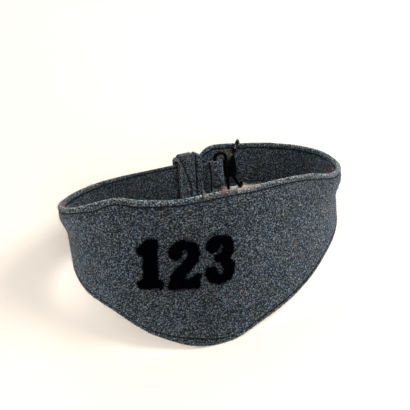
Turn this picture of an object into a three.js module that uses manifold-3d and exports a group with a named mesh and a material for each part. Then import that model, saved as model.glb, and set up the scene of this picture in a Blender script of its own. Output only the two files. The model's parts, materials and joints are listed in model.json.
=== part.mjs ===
// A cloth armband lying on a surface: a strip of thick wool, deep and tongue shaped at the front and narrow
// at the back, whose two ends overlap and are held by a cloth keeper loop and a wire cinch buckle.
// Millimetres, +Z up, the front towards -Y. The surface is at z = 0.
//
// The strip is worked out in the plane of its own loop. `at` is the length along the cloth from the middle
// of the front, positive to the right seen from the front. `out` is away from the arm, `height` is square to
// the loop's plane. The whole loop tips back, high at the front, and rests on its tongue and on its back.
import * as THREE from 'three';
import { mergeVertices } from 'three/addons/utils/BufferGeometryUtils.js';
import { TessellateModifier } from 'three/addons/modifiers/TessellateModifier.js';
import Module from 'manifold-3d';

const wasm = await Module();
wasm.setup();

const clearance = 0.3;
const clothThickness = 2.8;
const tipBack = THREE.MathUtils.degToRad(25.5);
const leanRight = THREE.MathUtils.degToRad(1.2);
const loopAboveSurface = 72.2;
const leftEnd = -225;
const rightEnd = 214.8;
const rightEndRadius = 16;
const rightEndDrop = 1.2;
const aboveWire = [178, 181.75, 183.5, 187, 189];
const lipDepth = 18;
const lipFull = 6;

const keeperFrom = -217.6;
const keeperTo = -200.3;
const keeperTop = 1.5;
const keeperThickness = 1.7;
const keeperSkew = 0.05;
const keeperSlack = 0.2;
const keeperCorner = 0.6;

const wireRadius = 1.1;
const plateThickness = 0.8;
const tabCloth = 1.6;
const numeralHeight = 26;
const numeralThickness = 1.2;
const numeralCentre = { at: -20.5, height: -31.5 };
const numeralTurn = THREE.MathUtils.degToRad(-6);

// Sections of the strip. x and depth are its middle line in plan, top and bottom its two edges, and
// flare is how far the top edge leans outward.
const sections = [
  { at: -250, x: 48.5, depth: 104.6, top: -2.5, bottom: -29.0, flare: 0.0 },
  { at: -220, x: 19.2, depth: 108.8, top: -3.6, bottom: -25.4, flare: 0.0 },
  { at: -200, x: -0.5, depth: 105.5, top: -3.8, bottom: -25.9, flare: 0.0 },
  { at: -180, x: -19.6, depth: 99.5, top: -3.5, bottom: -28.1, flare: 0.0 },
  { at: -160, x: -37.8, depth: 91.3, top: -2.6, bottom: -29.3, flare: 0.0 },
  { at: -140, x: -54.6, depth: 80.4, top: -2.0, bottom: -30.9, flare: 0.2 },
  { at: -120, x: -67.8, depth: 65.6, top: -2.2, bottom: -33.2, flare: 1.2 },
  { at: -100, x: -74.8, depth: 46.8, top: -2.5, bottom: -39.3, flare: 3.0 },
  { at: -80, x: -70.4, depth: 27.4, top: 0.0, bottom: -48.4, flare: 2.4 },
  { at: -60, x: -57.3, depth: 12.3, top: 4.8, bottom: -57.4, flare: 0.2 },
  { at: -50, x: -48.9, depth: 7.1, top: 6.2, bottom: -64.2, flare: -0.2 },
  { at: -40, x: -39.6, depth: 3.3, top: 4.4, bottom: -70.6, flare: -0.4 },
  { at: -20, x: -20.0, depth: -0.4, top: 2.4, bottom: -79.3, flare: -0.4 },
  { at: 0, x: 0.0, depth: 0.0, top: 3.0, bottom: -80.4, flare: -0.4 },
  { at: 20, x: 19.7, depth: 3.4, top: 2.2, bottom: -73.9, flare: -0.2 },
  { at: 40, x: 38.8, depth: 9.4, top: 1.9, bottom: -67.0, flare: 0.0 },
  { at: 60, x: 56.9, depth: 18.1, top: -0.1, bottom: -56.9, flare: 0.8 },
  { at: 80, x: 72.9, depth: 30.7, top: -5.0, bottom: -45.6, flare: 2.4 },
  { at: 100, x: 83.0, depth: 47.9, top: -5.2, bottom: -36.8, flare: 3.8 },
  { at: 120, x: 84.5, depth: 67.6, top: -1.8, bottom: -30.8, flare: 2.2 },
  { at: 140, x: 77.6, depth: 86.4, top: 0.2, bottom: -28.2, flare: 1.0 },
  { at: 160, x: 64.5, depth: 101.4, top: 1.6, bottom: -26.6, flare: 0.4 },
  { at: 168, x: 57.9, depth: 105.6, top: 2.1, bottom: -26.1, flare: 0.1 },
  { at: 178, x: 48.9, depth: 109.7, top: 2.5, bottom: -25.5, flare: 0.0 },
  { at: 183.5, x: 43.6, depth: 111.2, top: 2.7, bottom: -22.3, flare: 0.0 },
  { at: 189, x: 38.3, depth: 112.3, top: 3.4, bottom: -25.4, flare: 0.0 },
  { at: 200, x: 27.4, depth: 112.3, top: 4.2, bottom: -25.5, flare: 0.0 },
  { at: 215, x: 12.5, depth: 111.1, top: 4.9, bottom: -25.0, flare: 0.0 },
];

// A smooth value of one column between the rows, a cubic through each pair of neighbours.
function column(name, at) {
  const last = sections.length - 2;
  let row = 0;
  while (row < last && at > sections[row + 1].at) row += 1;
  const slopeAt = (i) => {
    const before = sections[Math.max(i - 1, 0)];
    const after = sections[Math.min(i + 1, sections.length - 1)];
    return (after[name] - before[name]) / (after.at - before.at);
  };
  const low = sections[row];
  const high = sections[row + 1];
  const span = high.at - low.at;
  const t = (at - low.at) / span;
  return (2 * t ** 3 - 3 * t ** 2 + 1) * low[name] + (t ** 3 - 2 * t ** 2 + t) * span * slopeAt(row)
    + (3 * t ** 2 - 2 * t ** 3) * high[name] + (t ** 3 - t ** 2) * span * slopeAt(row + 1);
}

// From the loop's own plane to the room: tipped back, leaned a little, and set down on the surface.
function toRoom(x, depth, height) {
  return new THREE.Vector3(x, depth, height)
    .applyAxisAngle(new THREE.Vector3(1, 0, 0), -tipBack)
    .applyAxisAngle(new THREE.Vector3(0, 1, 0), leanRight)
    .add(new THREE.Vector3(0, 0, loopAboveSurface));
}

// A place on the strip. The top edge leans out by the section's flare, and comes in over the lip's depth.
function onStrip(at, out, height) {
  const step = 0.5;
  const dx = column('x', at + step) - column('x', at - step);
  const dDepth = column('depth', at + step) - column('depth', at - step);
  const length = Math.hypot(dx, dDepth);
  const lip = THREE.MathUtils.smoothstep(height, column('top', at) - lipDepth, column('top', at) - lipFull);
  const away = out + column('flare', at) * lip;
  return toRoom(column('x', at) + away * dDepth / length, column('depth', at) - away * dx / length, height);
}

// Cloth is pressed flat where it rests.
function pressedFlat(point) {
  point.z = Math.max(point.z, 0);
  return point;
}

// A solid through rings of points, closed by a fan at each end.
function ringSolid(rings) {
  const count = rings[0].length;
  const middle = (ring) => ring.reduce((sum, p) => sum.add(p), new THREE.Vector3()).divideScalar(count);
  const points = [...rings.flat(), middle(rings[0]), middle(rings.at(-1))];
  const faces = [];
  for (let r = 0; r < rings.length - 1; r += 1) {
    for (let i = 0; i < count; i += 1) {
      const a = r * count + i;
      const b = r * count + (i + 1) % count;
      faces.push(a, a + count, b, b, a + count, b + count);
    }
  }
  const end = (rings.length - 1) * count;
  for (let i = 0; i < count; i += 1) {
    const next = (i + 1) % count;
    faces.push(points.length - 2, i, next);
    faces.push(points.length - 1, end + next, end + i);
  }
  return new THREE.BufferGeometry().setFromPoints(points).setIndex(faces);
}

function mergedCopy(geometry) {
  const bare = geometry.clone();
  bare.deleteAttribute('normal');
  bare.deleteAttribute('uv');
  return mergeVertices(bare);
}

function toSolid(geometry) {
  const merged = mergedCopy(geometry);
  return new wasm.Manifold(new wasm.Mesh({
    numProp: 3,
    vertProperties: new Float32Array(merged.attributes.position.array),
    triVerts: new Uint32Array(merged.index.array),
  }));
}

function toGeometry(solid) {
  const mesh = solid.getMesh();
  const geometry = new THREE.BufferGeometry();
  geometry.setAttribute('position', new THREE.BufferAttribute(mesh.vertProperties, 3));
  geometry.setIndex(new THREE.BufferAttribute(mesh.triVerts, 1));
  return geometry;
}

// The strip's top and bottom edges. The right end is rounded off, and its tip droops a little.
function edges(at) {
  const top = column('top', at);
  const bottom = column('bottom', at);
  const pastRound = (at - (rightEnd - rightEndRadius)) / rightEndRadius;
  if (pastRound <= 0) return { top, bottom };
  const middle = (top + bottom) / 2 - rightEndDrop * pastRound ** 2;
  const half = (top - bottom) / 2 * Math.sqrt(1 - Math.min(pastRound, 0.985) ** 2);
  return { top: middle + half, bottom: middle - half };
}

// One ring round the strip's thickness: up the outside, over the rolled top edge, down the inside and
// round the bottom edge.
function stripRing(at) {
  const { top, bottom } = edges(at);
  const roll = Math.min(clothThickness / 2, (top - bottom) / 2);
  const rollSteps = 4;
  const lip = Math.min(lipDepth, 0.8 * (top - bottom - 2 * roll));
  const wallLevels = [1, 0.8, 0.6, 0.4, 0.2];
  const ring = [];
  const add = (out, height) => ring.push(pressedFlat(onStrip(at, out, height)));
  const wallHeight = (level) => top - roll - lip * level;
  for (const level of wallLevels) add(roll, wallHeight(level));
  for (let i = 0; i <= rollSteps; i += 1) {
    const angle = Math.PI * i / rollSteps;
    add(roll * Math.cos(angle), top - roll + roll * Math.sin(angle));
  }
  for (const level of [...wallLevels].reverse()) add(-roll, wallHeight(level));
  for (let i = 0; i <= rollSteps; i += 1) {
    const angle = Math.PI * i / rollSteps;
    add(-roll * Math.cos(angle), bottom + roll - roll * Math.sin(angle));
  }
  return ring;
}

function bandGeometry() {
  const step = 5;
  const stations = [];
  for (let at = leftEnd; at < rightEnd - rightEndRadius; at += step) stations.push(at);
  stations.push(...aboveWire);
  stations.sort((a, b) => a - b);
  const roundSteps = 7;
  for (let i = 0; i <= roundSteps; i += 1) {
    stations.push(rightEnd - rightEndRadius * (1 - Math.sin(Math.PI / 2 * i / roundSteps)));
  }
  return ringSolid(stations.map(stripRing));
}

// The keeper goes round both ends of the strip. Its ring lies across the strip and runs along it.
function keeperGeometry() {
  const inside = -clothThickness / 2 - clearance;
  const outside = clothThickness * 1.5 + 2 * clearance + keeperSlack;
  const alongSteps = 5;
  const cornerSteps = 4;
  const loopRing = (at, grow) => {
    const surfaceHeight = (out) => {
      const above = onStrip(at, out, 0).z;
      const fall = above - onStrip(at, out, -1).z;
      return -above / fall;
    };
    const low = keeperThickness - grow;
    const top = keeperTop - keeperThickness + grow;
    const corner = keeperCorner + grow;
    const corners = [
      { out: outside + grow - corner, height: top - corner, from: 0 },
      { out: inside - grow + corner, height: top - corner, from: 1 },
      { out: inside - grow + corner, height: surfaceHeight(inside) + low + corner, from: 2 },
      { out: outside + grow - corner, height: surfaceHeight(outside) + low + corner, from: 3 },
    ];
    const ring = [];
    for (const { out, height, from } of corners) {
      for (let i = 0; i <= cornerSteps; i += 1) {
        const angle = Math.PI / 2 * (from + i / cornerSteps);
        const tall = height + corner * Math.sin(angle);
        ring.push(pressedFlat(onStrip(at - keeperSkew * tall, out + corner * Math.cos(angle), tall)));
      }
    }
    return ring;
  };
  const rings = [];
  for (let i = 0; i <= alongSteps; i += 1) {
    rings.push(loopRing(THREE.MathUtils.lerp(keeperFrom, keeperTo, i / alongSteps), keeperThickness));
  }
  for (let i = alongSteps; i >= 0; i -= 1) {
    rings.push(loopRing(THREE.MathUtils.lerp(keeperFrom, keeperTo, i / alongSteps), 0));
  }
  return closedRings(rings);
}

// A ring shaped solid: the last ring joins on to the first.
function closedRings(rings) {
  const count = rings[0].length;
  const points = rings.flat();
  const faces = [];
  for (let r = 0; r < rings.length; r += 1) {
    const row = r * count;
    const nextRow = ((r + 1) % rings.length) * count;
    for (let i = 0; i < count; i += 1) {
      const next = (i + 1) % count;
      faces.push(row + i, nextRow + i, row + next, row + next, nextRow + i, nextRow + next);
    }
  }
  return new THREE.BufferGeometry().setFromPoints(points).setIndex(faces);
}

// The buckle's own place: at the strip's left end, along the strip, away from the arm, and square to the
// loop's plane.
function buckleFrame() {
  const place = new THREE.Group();
  const origin = toRoom(column('x', leftEnd), column('depth', leftEnd), 0);
  const along = toRoom(column('x', leftEnd) + 1, column('depth', leftEnd), 0).sub(origin);
  const away = toRoom(column('x', leftEnd), column('depth', leftEnd) + 1, 0).sub(origin);
  const up = toRoom(column('x', leftEnd), column('depth', leftEnd), 1).sub(origin);
  place.setRotationFromMatrix(new THREE.Matrix4().makeBasis(along, away, up));
  place.position.copy(origin);
  return place;
}

// Bars of the buckle in plan, from the strip's left end.
const tabBar = { along: 0.7, away: -4.9 };
const plateBar = { along: 8.4, away: -4.6 };
const frameBar = { along: 12.8, away: -4 };

const tab = { from: -4, to: 5.8, top: -4.8, bottom: -26, slab: 3.4, bend: -2.2, bulgeFrom: -0.5 };
const loopWire = { top: -0.5, bottom: -27.9, topRadius: 3.6, bottomRadius: 1.9 };
const plate = { top: -5.6, bottom: -16.8, prongs: 3, prongWidth: 2, prongReach: 6.3, prongLean: 1.2 };
const plateCurls = { loop: { from: 110, to: 270 }, frame: { from: 280, to: 400 }, prongsAt: 340 };
const frameWire = {
  barTop: -4,
  barBottom: -18.4,
  barRadius: 1.6,
  inner: { along: 17.6, away: -2.05 },
  outer: { along: 20.2, away: 5.3 },
  top: 4.3,
  bottomInner: -26.5,
  bottomOuter: -23.3,
  radius: 2.2,
};

// The tab is folded round the bar inside it and sewn flat behind it.
function tabGeometry() {
  const back = -clothThickness / 2 - clearance;
  const bulge = tabBar.away - wireRadius - clearance - tabCloth;
  const middle = (back + bulge) / 2;
  const round = (back - bulge) / 2;
  const outline = new THREE.Shape();
  outline.moveTo(tab.from, back);
  outline.lineTo(tab.from, back - tab.slab);
  outline.quadraticCurveTo(tab.bend, back - tab.slab, tab.bulgeFrom, bulge);
  outline.lineTo(tab.to - round, bulge);
  outline.absarc(tab.to - round, middle, round, -Math.PI / 2, Math.PI / 2, false);
  outline.lineTo(tab.from, back);
  const slot = new THREE.Path();
  slot.absarc(tabBar.along, tabBar.away, wireRadius + clearance, 0, Math.PI * 2, true);
  outline.holes.push(slot);
  const geometry = new THREE.ExtrudeGeometry(outline, {
    depth: tab.top - tab.bottom,
    bevelEnabled: false,
    curveSegments: 8,
  });
  return mergedCopy(geometry.translate(0, 0, tab.bottom));
}

// A wire bent round a closed loop of corners.
function wireLoop(corners, segments) {
  const path = new THREE.CurvePath();
  const count = corners.length;
  const cut = (from, to, radius) => from.clone().add(to.clone().sub(from).setLength(radius));
  for (let i = 0; i < count; i += 1) {
    const here = corners[i];
    const next = corners[(i + 1) % count];
    const before = corners[(i + count - 1) % count];
    const start = cut(here.point, before.point, here.radius);
    const leave = cut(here.point, next.point, here.radius);
    path.add(new THREE.QuadraticBezierCurve3(start, here.point, leave));
    path.add(new THREE.LineCurve3(leave, cut(next.point, here.point, next.radius)));
  }
  return mergedCopy(new THREE.TubeGeometry(path, segments, wireRadius, 10, true));
}

function cornerAt({ along, away }, height, radius) {
  return { point: new THREE.Vector3(along, away, height), radius };
}

function loopGeometry() {
  return wireLoop([
    cornerAt(tabBar, loopWire.top, loopWire.topRadius),
    cornerAt(tabBar, loopWire.bottom, loopWire.bottomRadius),
    cornerAt(plateBar, loopWire.bottom, loopWire.bottomRadius),
    cornerAt(plateBar, loopWire.top, loopWire.topRadius),
  ], 72);
}

function frameGeometry() {
  return wireLoop([
    cornerAt(frameBar, frameWire.barTop, frameWire.barRadius),
    cornerAt(frameWire.inner, frameWire.top, frameWire.radius),
    cornerAt(frameWire.outer, frameWire.top, frameWire.radius),
    cornerAt(frameWire.outer, frameWire.bottomOuter, frameWire.radius),
    cornerAt(frameWire.inner, frameWire.bottomInner, frameWire.radius),
    cornerAt(frameBar, frameWire.barBottom, frameWire.barRadius),
  ], 96);
}

// A strip of sheet metal of even thickness along a line in plan.
function ribbon(line, thickness) {
  const side = (sign) => line.map((point, i) => {
    const before = line[Math.max(i - 1, 0)];
    const after = line[Math.min(i + 1, line.length - 1)];
    const across = after.clone().sub(before).rotateAround(new THREE.Vector2(), Math.PI / 2);
    return point.clone().add(across.setLength(sign * thickness / 2));
  });
  return new THREE.Shape([...side(-1), ...side(1).reverse()]);
}

function besideBar(bar, radius, degrees) {
  const angle = THREE.MathUtils.degToRad(degrees);
  return new THREE.Vector2(bar.along + radius * Math.cos(angle), bar.away + radius * Math.sin(angle));
}

function curl(bar, radius, { from, to }) {
  const steps = 9;
  return Array.from({ length: steps + 1 }, (_, i) => {
    return besideBar(bar, radius, THREE.MathUtils.lerp(from, to, i / steps));
  });
}

// The plate joins the loop's free bar to the frame, and its prongs point at the strip's other end.
function plateGeometry() {
  const radius = wireRadius + clearance + plateThickness / 2;
  const hooked = [...curl(plateBar, radius, plateCurls.loop), ...curl(frameBar, radius, plateCurls.frame)];
  const body = new THREE.ExtrudeGeometry(ribbon(hooked, plateThickness), {
    depth: plate.top - plate.bottom,
    bevelEnabled: false,
  });
  let solid = toSolid(body.translate(0, 0, plate.bottom));
  const root = besideBar(frameBar, radius, plateCurls.prongsAt);
  const reach = new THREE.Vector2(root.x + plate.prongLean, root.y + plate.prongReach);
  for (let i = 0; i < plate.prongs; i += 1) {
    const prong = new THREE.ExtrudeGeometry(ribbon([root, reach], plateThickness), {
      depth: plate.prongWidth,
      bevelEnabled: false,
    });
    const room = plate.top - plate.bottom - plate.prongWidth;
    solid = solid.add(toSolid(prong.translate(0, 0, plate.bottom + room * i / (plate.prongs - 1))));
  }
  return toGeometry(solid);
}

// Outlines of the numerals, drawn about the middle of the foot.
const numeralOutlines = {
  1: (pen) => {
    pen.moveTo(-6.4, 0).lineTo(6.4, 0).lineTo(6.2, 3.4).lineTo(3.6, 4.4).lineTo(3.4, 26);
    pen.lineTo(-1.6, 26).quadraticCurveTo(-3.2, 23, -6.4, 22.4).lineTo(-6.2, 18.6).lineTo(-3.4, 18.2);
    pen.lineTo(-3.4, 4.4).lineTo(-6.2, 3.4);
  },
  2: (pen) => {
    pen.moveTo(-8, 0).lineTo(8, 0).lineTo(8, 7.4).lineTo(5.8, 7.4).quadraticCurveTo(5.4, 4.9, 2.8, 4.9);
    pen.lineTo(-1.4, 4.9).bezierCurveTo(2, 9.4, 7.7, 12, 7.7, 18.4).bezierCurveTo(7.7, 23.4, 4.4, 26, 0, 26);
    pen.bezierCurveTo(-4.7, 26, -7.6, 23.2, -7.6, 19.4).bezierCurveTo(-7.6, 17, -6.2, 15.6, -4.4, 15.6);
    pen.bezierCurveTo(-2.6, 15.6, -1.5, 16.8, -1.6, 18.6).quadraticCurveTo(-1.6, 21.6, 0.2, 21.6);
    pen.bezierCurveTo(1.7, 21.6, 2.2, 20.4, 2.2, 18.4).bezierCurveTo(2.2, 13.4, -8, 10, -8, 2.4);
  },
  3: (pen) => {
    pen.moveTo(-7.6, 6.4).bezierCurveTo(-7.6, 2.4, -4.4, 0, 0.2, 0).bezierCurveTo(5, 0, 7.9, 2.8, 7.9, 7.3);
    pen.bezierCurveTo(7.9, 10.4, 6.4, 12.6, 4, 13.5).bezierCurveTo(6.2, 14.5, 7.4, 16.5, 7.4, 19.1);
    pen.bezierCurveTo(7.4, 23.4, 4.6, 26, 0.2, 26).bezierCurveTo(-4.2, 26, -7, 23.8, -7, 20.4);
    pen.bezierCurveTo(-7, 18.2, -5.8, 17, -4.1, 17).bezierCurveTo(-2.4, 17, -1.3, 18.1, -1.3, 19.6);
    pen.quadraticCurveTo(-1.3, 21.8, 0.3, 21.8).bezierCurveTo(1.6, 21.8, 2.1, 20.8, 2.1, 19);
    pen.bezierCurveTo(2.1, 16.6, 0.9, 15.4, -2.4, 15.4).lineTo(-2.4, 11.6);
    pen.bezierCurveTo(1.4, 11.6, 2.6, 10.2, 2.6, 7.5).bezierCurveTo(2.6, 5.3, 1.9, 4.2, 0.4, 4.2);
    pen.quadraticCurveTo(-1.4, 4.2, -1.4, 6.4).bezierCurveTo(-1.4, 8.3, -2.6, 9.4, -4.4, 9.4);
    pen.bezierCurveTo(-6.4, 9.4, -7.6, 8.2, -7.6, 6.4);
  },
};
const numeralPlaces = {
  1: { middle: -17.3, lift: 0.2 },
  2: { middle: -0.4, lift: -0.2 },
  3: { middle: 18.2, lift: 1.0 },
};

// Each numeral is a felt shape laid on the outside of the strip and bent with it.
function numeralGeometry(digit) {
  const pen = new THREE.Shape();
  const chained = {};
  for (const move of ['moveTo', 'lineTo', 'quadraticCurveTo', 'bezierCurveTo']) {
    chained[move] = (...values) => {
      pen[move](...values);
      return chained;
    };
  }
  numeralOutlines[digit](chained);
  const flat = new THREE.ExtrudeGeometry(pen, { depth: numeralThickness, bevelEnabled: false, curveSegments: 4 });
  const longestEdge = 3.2;
  const geometry = mergedCopy(new TessellateModifier(longestEdge, 8).modify(flat));
  const position = geometry.attributes.position;
  const { middle, lift } = numeralPlaces[digit];
  const turn = (x, y) => new THREE.Vector2(x, y).rotateAround(new THREE.Vector2(), numeralTurn);
  for (let i = 0; i < position.count; i += 1) {
    const placed = turn(position.getX(i) + middle, position.getY(i) + lift - numeralHeight / 2);
    const out = clothThickness / 2 + clearance + position.getZ(i);
    const point = onStrip(numeralCentre.at + placed.x, out, numeralCentre.height + placed.y);
    position.setXYZ(i, point.x, point.y, point.z);
  }
  return geometry;
}

const wool = new THREE.MeshStandardMaterial({ color: 0x42494f, roughness: 0.95, metalness: 0 });
const blackFelt = new THREE.MeshStandardMaterial({ color: 0x07070a, roughness: 0.9, metalness: 0 });
const japannedSteel = new THREE.MeshStandardMaterial({ color: 0x0b0b0c, roughness: 0.4, metalness: 0.4 });

function named(name, geometry, material) {
  const mesh = new THREE.Mesh(geometry, material.clone());
  mesh.name = name;
  return mesh;
}

const armband = new THREE.Group();
armband.add(named('band', bandGeometry(), wool));
armband.add(named('keeper_loop', keeperGeometry(), wool));
for (const digit of [1, 2, 3]) armband.add(named(`numeral_${digit}`, numeralGeometry(digit), blackFelt));

const buckle = buckleFrame();
buckle.add(named('buckle_tab', tabGeometry(), wool));
buckle.add(named('buckle_loop', loopGeometry(), japannedSteel));
buckle.add(named('buckle_plate', plateGeometry(), japannedSteel));
buckle.add(named('buckle_frame', frameGeometry(), japannedSteel));
armband.add(buckle);

const whole = new THREE.Box3().setFromObject(armband, true);
const centre = whole.getCenter(new THREE.Vector3());
armband.position.set(-centre.x, -centre.y, 0);

const group = new THREE.Group();
group.add(armband);

export default group;
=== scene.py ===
import json
import math

import bmesh
import bpy
from mathutils import Matrix, Quaternion, Vector, noise

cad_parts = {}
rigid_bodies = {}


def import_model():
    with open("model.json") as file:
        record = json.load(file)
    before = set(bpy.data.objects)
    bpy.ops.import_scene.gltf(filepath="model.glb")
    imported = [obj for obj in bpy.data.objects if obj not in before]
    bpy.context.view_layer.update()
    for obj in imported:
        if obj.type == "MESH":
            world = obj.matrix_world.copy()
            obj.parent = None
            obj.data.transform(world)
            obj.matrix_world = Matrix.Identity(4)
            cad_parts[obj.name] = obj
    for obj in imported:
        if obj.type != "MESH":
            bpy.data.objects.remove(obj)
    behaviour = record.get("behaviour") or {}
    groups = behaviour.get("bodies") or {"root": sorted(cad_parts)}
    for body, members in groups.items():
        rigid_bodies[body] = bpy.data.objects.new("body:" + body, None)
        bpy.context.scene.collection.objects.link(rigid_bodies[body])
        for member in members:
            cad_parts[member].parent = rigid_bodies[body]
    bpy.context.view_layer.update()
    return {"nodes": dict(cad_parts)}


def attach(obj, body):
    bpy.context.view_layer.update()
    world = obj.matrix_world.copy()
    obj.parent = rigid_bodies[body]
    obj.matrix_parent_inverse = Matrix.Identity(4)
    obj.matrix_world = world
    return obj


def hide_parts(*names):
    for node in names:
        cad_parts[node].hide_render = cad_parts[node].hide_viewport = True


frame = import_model()
mm = 0.001
for startup in ("Cube", "Light", "Camera"):
    if startup in bpy.data.objects:
        bpy.data.objects.remove(bpy.data.objects[startup])
print("frame loaded")


# Camera, at the photograph's angle. The image is 410 by 410.
view = {
    "place": (-75.99, -294.32, 304.77),
    "target": (0.58, 10.65, 27.73),
    "roll": -0.98,
    "focalPixels": 700,
    "imagePixels": 410,
}


def addObject(name, data):
    made = bpy.data.objects.new(name, data)
    bpy.context.scene.collection.objects.link(made)
    return made


def aimAt(thing, place, target, roll=0):
    thing.location = place
    thing.rotation_mode = "QUATERNION"
    aim = (target - place).to_track_quat("-Z", "Y")
    thing.rotation_quaternion = aim @ Quaternion((0, 0, 1), math.radians(roll))


def addCamera():
    lens = bpy.data.cameras.new("camera")
    lens.sensor_width = 36
    lens.lens = view["focalPixels"] / view["imagePixels"] * lens.sensor_width
    lens.clip_start = 0.01
    camera = addObject("camera", lens)
    aimAt(camera, Vector(view["place"]) * mm, Vector(view["target"]) * mm, view["roll"])
    bpy.context.scene.camera = camera


addCamera()


# The strip of cloth, in millimetres. `at` is the length along it from the middle of the front, `out` is away
# from the arm, and `height` is square to the plane of the loop, which tips back.
strip = {
    "thickness": 2.8,
    "tipBack": 25.5,
    "leanRight": 1.2,
    "setAt": (-4.496, -34.474, 72.2),
    "leftEnd": -225,
    "rightEnd": 214.8,
    "endRadius": 16,
    "endDrop": 1.2,
    "endLimit": 0.985,
    "lipDepth": 18,
    "lipFull": 6,
    "clearance": 0.3,
}
# Each row is `at` and then these: the middle of the cloth in plan, its two edges, and how far its top flares.
columns = {"x": 1, "depth": 2, "top": 3, "bottom": 4, "flare": 5}
sections = [
    (-250, 48.5, 104.6, -2.5, -29.0, 0.0),
    (-220, 19.2, 108.8, -3.6, -25.4, 0.0),
    (-200, -0.5, 105.5, -3.8, -25.9, 0.0),
    (-180, -19.6, 99.5, -3.5, -28.1, 0.0),
    (-160, -37.8, 91.3, -2.6, -29.3, 0.0),
    (-140, -54.6, 80.4, -2.0, -30.9, 0.2),
    (-120, -67.8, 65.6, -2.2, -33.2, 1.2),
    (-100, -74.8, 46.8, -2.5, -39.3, 3.0),
    (-80, -70.4, 27.4, 0.0, -48.4, 2.4),
    (-60, -57.3, 12.3, 4.8, -57.4, 0.2),
    (-50, -48.9, 7.1, 6.2, -64.2, -0.2),
    (-40, -39.6, 3.3, 4.4, -70.6, -0.4),
    (-20, -20.0, -0.4, 2.4, -79.3, -0.4),
    (0, 0.0, 0.0, 3.0, -80.4, -0.4),
    (20, 19.7, 3.4, 2.2, -73.9, -0.2),
    (40, 38.8, 9.4, 1.9, -67.0, 0.0),
    (60, 56.9, 18.1, -0.1, -56.9, 0.8),
    (80, 72.9, 30.7, -5.0, -45.6, 2.4),
    (100, 83.0, 47.9, -5.2, -36.8, 3.8),
    (120, 84.5, 67.6, -1.8, -30.8, 2.2),
    (140, 77.6, 86.4, 0.2, -28.2, 1.0),
    (160, 64.5, 101.4, 1.6, -26.6, 0.4),
    (168, 57.9, 105.6, 2.1, -26.1, 0.1),
    (178, 48.9, 109.7, 2.5, -25.5, 0.0),
    (183.5, 43.6, 111.2, 2.7, -22.3, 0.0),
    (189, 38.3, 112.3, 3.4, -25.4, 0.0),
    (200, 27.4, 112.3, 4.2, -25.5, 0.0),
    (215, 12.5, 111.1, 4.9, -25.0, 0.0),
]


def slopeOf(row, name):
    before = sections[max(row - 1, 0)]
    after = sections[min(row + 1, len(sections) - 1)]
    return (after[columns[name]] - before[columns[name]]) / (after[0] - before[0])


# A smooth value of one column, a cubic through each pair of neighbouring rows.
def columnAt(name, at):
    row = 0
    while row < len(sections) - 2 and at > sections[row + 1][0]:
        row += 1
    low, high = sections[row], sections[row + 1]
    span = high[0] - low[0]
    t = (at - low[0]) / span
    fromLow = (2 * t**3 - 3 * t**2 + 1) * low[columns[name]]
    fromHigh = (3 * t**2 - 2 * t**3) * high[columns[name]]
    lowSlope = (t**3 - 2 * t**2 + t) * span * slopeOf(row, name)
    highSlope = (t**3 - t**2) * span * slopeOf(row + 1, name)
    return fromLow + fromHigh + lowSlope + highSlope


def smoothStep(value, low, high):
    t = min(max((value - low) / (high - low), 0), 1)
    return t * t * (3 - 2 * t)


def mix(low, high, share):
    return low + (high - low) * share


def bump(value, centre, width):
    return math.exp(-(((value - centre) / width) ** 2))


def noiseAt(*place):
    return noise.noise(Vector(place))


# How much is left of a thickness, at a distance from an end that is rounded.
def roundedEnd(distance, radius):
    return math.sqrt(max(1 - (1 - min(1, distance / radius)) ** 2, 0))


# Steps between two rounded ends, closer together in the rounds.
def roundedSteps(low, high, radius, turns, count):
    ends = [radius * (1 - math.cos(math.pi / 2 * i / turns)) for i in range(turns)]
    inside = high - low - 2 * radius
    steps = [low + d for d in ends]
    steps += [low + radius + inside * i / count for i in range(count + 1)]
    return steps + [high - d for d in reversed(ends)]


roomTurn = (
    Matrix.Rotation(math.radians(strip["leanRight"]), 3, "Y")
    @ Matrix.Rotation(-math.radians(strip["tipBack"]), 3, "X")
)


def toRoom(x, depth, height):
    return roomTurn @ Vector((x, depth, height)) + Vector(strip["setAt"])


# What one place along the strip needs: its middle in plan, which way is out, and its two edges.
def sectionAt(at):
    step = 0.5
    dx = columnAt("x", at + step) - columnAt("x", at - step)
    dDepth = columnAt("depth", at + step) - columnAt("depth", at - step)
    length = math.hypot(dx, dDepth)
    section = {name: columnAt(name, at) for name in columns}
    top, bottom = section["top"], section["bottom"]
    pastRound = (at - (strip["rightEnd"] - strip["endRadius"])) / strip["endRadius"]
    if pastRound > 0:
        middle = (top + bottom) / 2 - strip["endDrop"] * pastRound**2
        half = (top - bottom) / 2 * math.sqrt(1 - min(pastRound, strip["endLimit"]) ** 2)
        section["top"], section["bottom"] = middle + half, middle - half
    return {**section, "at": at, "wallTop": top, "outX": dDepth / length, "outDepth": -dx / length}


def strapPoint(section, out, height):
    lip = smoothStep(height, section["wallTop"] - strip["lipDepth"], section["wallTop"] - strip["lipFull"])
    away = out + section["flare"] * lip
    x = section["x"] + away * section["outX"]
    depth = section["depth"] + away * section["outDepth"]
    return toRoom(x, depth, height)


def settled(place):
    return Vector((place.x, place.y, max(place.z, 0))) * mm  # cloth is pressed flat where it rests


def onStrip(section, out, height):
    return settled(strapPoint(section, out, height))


# Corners nearer to each other than this are one.
mergeDistance = 0.002 * mm


def readMesh(mesh):
    made = bmesh.new()
    made.from_mesh(mesh)
    return made


def shadeSmooth(mesh):
    mesh.polygons.foreach_set("use_smooth", [True] * len(mesh.polygons))


def writeMesh(made, mesh):
    made.to_mesh(mesh)
    made.free()
    shadeSmooth(mesh)


def asPiece(name, made):
    mesh = bpy.data.meshes.new(name)
    writeMesh(made, mesh)
    return addObject(name, mesh)


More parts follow.
